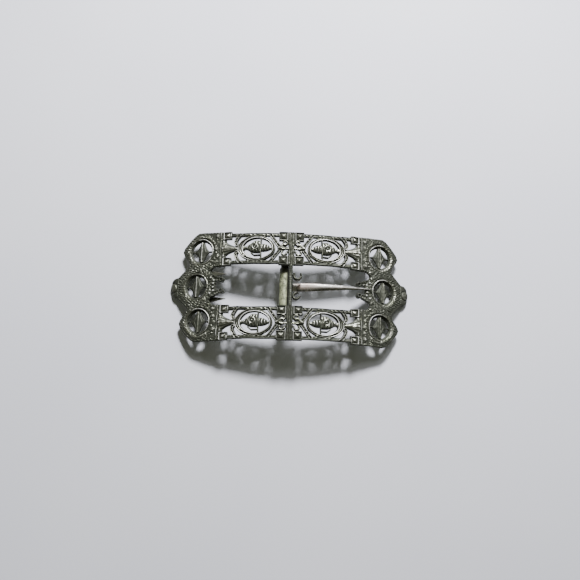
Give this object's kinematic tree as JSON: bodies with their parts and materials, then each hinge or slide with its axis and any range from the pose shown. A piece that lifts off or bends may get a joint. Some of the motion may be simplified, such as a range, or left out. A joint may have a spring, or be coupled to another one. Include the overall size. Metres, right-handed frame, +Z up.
{
  "type": "belt buckle",
  "caption": "Bowed belt buckle of pierced cast metal: long lattice bars with oval cartouches, roundel ends, a middle rib and a hinged tongue.",
  "frame": {"origin": "the middle of the buckle, on the surface that its two end knobs rest on", "axes": "+X along the buckle, from the end with the prongs to the end where the tongue's tip rests; +Y across it; +Z up, out of the ornamented front"},
  "size_m": [0.086, 0.0404, 0.0122],
  "materials": {
    "cast_silver": "oxidised silver, dark olive-grey in the recesses and rubbed bright on the raised lines",
    "steel_bar": "plain drawn steel, darkened",
    "worn_brass": "dull cream brass with dark specks, the plating worn off",
    "tongue_silver": "polished silver plate, bright on its upper slope and worn pink to the copper near the root",
    "dark_sheet": "blackened sheet, matt"
  },
  "bodies": {
    "frame": {"frame": "cast_silver", "hinge_bar": "steel_bar", "prong_plate": "dark_sheet"},
    "tongue": {"hinge_sleeve": "worn_brass", "tongue": "tongue_silver"}
  },
  "joints": [
    {"name": "tongue_hinge", "type": "hinge", "parent": "frame", "child": "tongue", "pos_m": [-0.002, 0, 0.00723], "axis": [0, -1, 0], "range_deg": [0, 30]}
  ]
}
